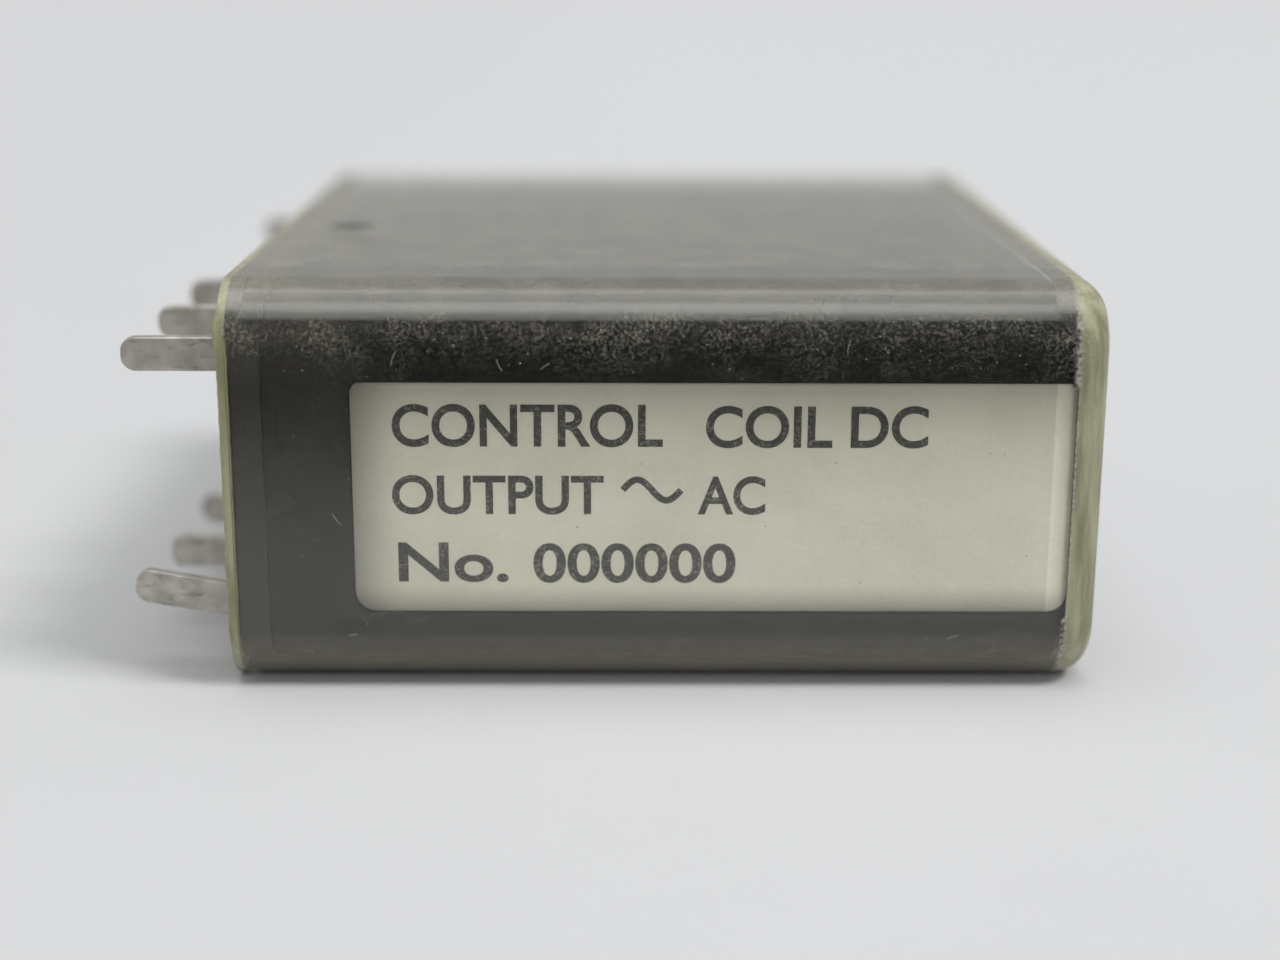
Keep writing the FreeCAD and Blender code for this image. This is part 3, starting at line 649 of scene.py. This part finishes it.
def label_print(material):
    """Three lines of generic print."""
    printed("print_line_1a", "CONTROL", 4.83, 12.66, 1.23, 2.51, material)
    printed("print_line_1b", "COIL DC", 13.9, 20.34, 1.21, 2.47, material)
    printed("print_line_2a", "OUTPUT", 4.78, 10.95, -0.8, 0.39, material)
    wave_sign("print_wave", 11.5, 13.2, -0.05, 0.62, material)
    printed("print_line_2b", "AC", 13.69, 15.66, -0.8, 0.37, material)
    printed("print_line_3a", "No.", 4.92, 8.15, -2.87, -1.65, material)
    printed("print_line_3b", "000000", 8.88, 14.82, -2.89, -1.67, material)


def front_surface(z):
    """The y of the cover's front, following its rounded top and bottom edges."""
    beyond = abs(z) - (COVER_HIGH.z - COVER_ROUND)
    if beyond <= 0:
        return FRONT_Y
    return FRONT_Y + COVER_ROUND - math.sqrt(max(COVER_ROUND ** 2 - beyond ** 2, 0.0))


def tube(bm, points, radius, sides=5):
    """A thin closed tube along some points."""
    rings = []
    for i, point in enumerate(points):
        before = points[max(i - 1, 0)]
        after = points[min(i + 1, len(points) - 1)]
        direction = (after - before).normalized()
        first = direction.orthogonal().normalized()
        second = direction.cross(first)
        ring = []
        for k in range(sides):
            angle = 2 * math.pi * k / sides
            ring.append(bm.verts.new(point + radius * (math.cos(angle) * first + math.sin(angle) * second)))
        rings.append(ring)
    for first, second in zip(rings, rings[1:]):
        for k in range(sides):
            m = (k + 1) % sides
            bm.faces.new((first[k], first[m], second[m], second[k]))
    bm.faces.new(rings[0])
    bm.faces.new(rings[-1])


# x and z of the middle, length, and angle from the x axis in degrees
FIBRES = [
    (5.0, 3.95, 0.4, 70),
    (9.3, 3.75, 0.3, 35),
    (8.0, 3.8, 0.36, 115),
    (11.9, 4.65, 0.35, 50),
    (3.25, -0.75, 0.42, 125),
    (3.6, -4.3, 0.26, 10),
    (17.9, 4.3, 0.42, 80),
    (21.2, -4.35, 0.35, 20),
]
FIBRE_RADIUS = 0.006
FIBRE_POINTS = 9
FIBRE_LIFT = 0.01
GRAINS = 110


def lint(material):
    """Loose lint and dust grains lying on the cover."""
    rng = random.Random(11)
    bm = bmesh.new()
    for x, z, length, angle in FIBRES:
        direction = Vector((math.cos(math.radians(angle)), 0, math.sin(math.radians(angle))))
        side = Vector((-direction.z, 0, direction.x))
        points = []
        for i in range(FIBRE_POINTS):
            t = i / (FIBRE_POINTS - 1) - 0.5
            curl = side * (0.25 * length * (0.25 - t * t))
            middle = Vector((x, front_surface(z) - FIBRE_LIFT, z))
            points.append(middle + direction * (t * length) + curl)
        tube(bm, points, FIBRE_RADIUS)
    for _ in range(GRAINS):
        x = rng.uniform(0.7, 24.7)
        z = 5.3 - abs(rng.gauss(0, 1.0))
        if z < WINDOW_TOP:
            continue
        size = rng.uniform(0.008, 0.02)
        centre = Vector((x, front_surface(z) - size * 0.3, z))
        made = bmesh.ops.create_icosphere(bm, subdivisions=1, radius=size, matrix=Matrix.Translation(centre))
        for vertex in made["verts"]:
            vertex.co += Vector([rng.uniform(-0.3, 0.3) * size for _ in range(3)])
    add_piece("lint", mesh_from(bm, "lint"), material)


# ---- studio ----
def sheet(name, size_x, size_y, centre, material):
    """A level sheet that is not part of the object; sizes and place are in millimetres."""
    bm = bmesh.new()
    bmesh.ops.create_grid(bm, x_segments=1, y_segments=1, size=0.5)
    bmesh.ops.scale(bm, vec=(size_x, size_y, 1), verts=bm.verts)
    bmesh.ops.translate(bm, vec=centre, verts=bm.verts)
    mesh = mesh_from(bm, name, smooth=False)
    mesh.materials.append(material)
    made = bpy.data.objects.new(name, mesh)
    bpy.context.scene.collection.objects.link(made)
    return made


FLOOR_SIZE = 7000
FLOOR_GAP = 0.01
CARD_WIDE = 600
CARD_DEEP = 3000
CARD_NEAR_Y = -22
CARD_FADE = (-24.0, -56.0)
CARD_LIFT = 0.05


def studio():
    """Pale floor, a dark card in front for reflections, two soft far lights and a room."""
    middle = COVER_HIGH.x / 2
    sheet("floor", FLOOR_SIZE, FLOOR_SIZE, (middle, 0, FLOOR_Z - FLOOR_GAP), floor_paper())
    dark = Shader("dark_card")
    shade = dark.blend(dark.noise(20.0), grey(0.01), grey(0.02))
    clear = dark.node("BsdfTransparent").outputs[0]
    fade = dark.ramp(dark.y, *CARD_FADE)
    look = dark.done(dark.layered(fade, clear, dark.surface(shade, 0.9)))
    card_middle = (middle, CARD_NEAR_Y - CARD_DEEP / 2, FLOOR_Z + CARD_LIFT)
    card = sheet("dark_card", CARD_WIDE, CARD_DEEP, card_middle, look)
    card.visible_camera = False
    card.visible_diffuse = False
    card.visible_shadow = False
    sun("side_sun", (0.56, -0.21, 0.8), 1.95, 18)
    sun("front_fill", (0.05, -0.86, 0.5), 0.72, 40)
    room()


def sun(name, toward, strength, spread):
    """Far light from a direction, not mirrored by gloss; spread is its width in degrees."""
    data = bpy.data.lights.new(name, "SUN")
    data.energy = strength
    data.angle = math.radians(spread)
    light = bpy.data.objects.new(name, data)
    bpy.context.scene.collection.objects.link(light)
    light.rotation_euler = Vector(toward).to_track_quat("Z", "Y").to_euler()
    light.visible_glossy = False


def room():
    """World light by direction: dim low down and halfway up, bright overhead."""
    world = bpy.data.worlds.new("room")
    bpy.context.scene.world = world
    world.use_nodes = True
    nodes = world.node_tree.nodes
    links = world.node_tree.links
    place = nodes.new("ShaderNodeTexCoord").outputs["Generated"]
    direction = nodes.new("ShaderNodeSeparateXYZ")
    links.new(place, direction.inputs[0])
    ramp = nodes.new("ShaderNodeValToRGB")
    links.new(direction.outputs[2], ramp.inputs[0])
    stops = [(0.0, 0.34), (0.35, 0.34), (0.5, 0.2), (0.87, 0.22), (0.94, 3.2), (1.0, 3.6)]
    while len(ramp.color_ramp.elements) < len(stops):
        ramp.color_ramp.elements.new(0.5)
    for element, (position, level) in zip(ramp.color_ramp.elements, stops):
        element.position = position
        element.color = (level * 0.97, level * 0.985, level, 1.0)
    # the side behind the camera is dark low down
    behind_camera = nodes.new("ShaderNodeMapRange")
    links.new(direction.outputs[1], behind_camera.inputs["Value"])
    behind_camera.inputs["From Min"].default_value = -0.97
    behind_camera.inputs["From Max"].default_value = -0.6
    behind_camera.inputs["To Min"].default_value = 0.12
    links.new(ramp.outputs[0], nodes["Background"].inputs["Color"])
    links.new(behind_camera.outputs[0], nodes["Background"].inputs["Strength"])


EYE_PLACE = (11.57, -71.69, 15.72)
EYE_DOWN = 15.04
EYE_TURN = -0.43
EYE_ROLL = 0.21
LENS = 57.66
FOCUS_DEPTH = 0.4


def camera():
    """The camera stands in front, a little above, and looks slightly down."""
    data = bpy.data.cameras.new("camera")
    data.sensor_width = 36.0
    data.lens = LENS
    data.clip_start = 5 * MM
    data.clip_end = 20.0
    focus = bpy.data.objects.new("focus", None)
    bpy.context.scene.collection.objects.link(focus)
    focus.location = Vector((COVER_HIGH.x / 2, FRONT_Y + FOCUS_DEPTH, 0)) * MM
    data.dof.use_dof = True
    data.dof.focus_object = focus
    data.dof.aperture_fstop = 24.0
    eye = bpy.data.objects.new("camera", data)
    bpy.context.scene.collection.objects.link(eye)
    eye.location = Vector(EYE_PLACE) * MM
    pitch = math.radians(90.0 - EYE_DOWN)
    yaw = math.radians(EYE_TURN)
    roll = math.radians(EYE_ROLL)
    turned = Matrix.Rotation(yaw, 3, "Z") @ Matrix.Rotation(pitch, 3, "X") @ Matrix.Rotation(roll, 3, "Z")
    eye.rotation_euler = turned.to_euler()
    bpy.context.scene.camera = eye


pin_metal = tinned_pin()
resin_look = resin()
iron = metal("plated_iron", (0.42, 0.42, 0.41), (0.56, 0.56, 0.54), 0.38)
MATERIALS = {
    "clear_cover": clear_cover(),
    "black_plastic": black_liner(),
    "paper_label": paper(),
    "resin": resin_look,
    "cream_plastic": moulded("cream_moulding", (0.62, 0.56, 0.40), (0.70, 0.64, 0.48), 0.5),
    "comb_plastic": moulded("white_slide_moulding", (0.66, 0.65, 0.58), (0.74, 0.73, 0.66), 0.42),
    "tinned_copper": pin_metal,
    "contact_metal": metal("silver_contact", (0.70, 0.69, 0.66), (0.86, 0.85, 0.82), 0.25),
    "spring_bronze": metal("bronze_spring", (0.55, 0.33, 0.17), (0.68, 0.44, 0.24), 0.28),
    "spring_steel": metal("bright_spring_steel", (0.52, 0.52, 0.51), (0.66, 0.66, 0.65), 0.25),
    "magnet_iron": iron,
    "shim_brass": metal("brass_shim", (0.62, 0.45, 0.16), (0.75, 0.56, 0.24), 0.3),
    "copper_wire": wound_copper(),
    "coil_wrap": moulded("yellow_coil_tape", (0.52, 0.36, 0.06), (0.66, 0.48, 0.11), 0.3),
    "solder": metal("dull_solder", (0.50, 0.50, 0.49), (0.64, 0.64, 0.63), 0.35, scale=0.15),
}
paint_cad(MATERIALS)
NODES["base_plate"].material_slots[0].material = black_base()
bent_pin(pin_metal)
sealing_resin(resin_look)
label_print(ink())
lint(fleck_material())
studio()
camera()
bpy.context.scene.view_settings.view_transform = "Standard"
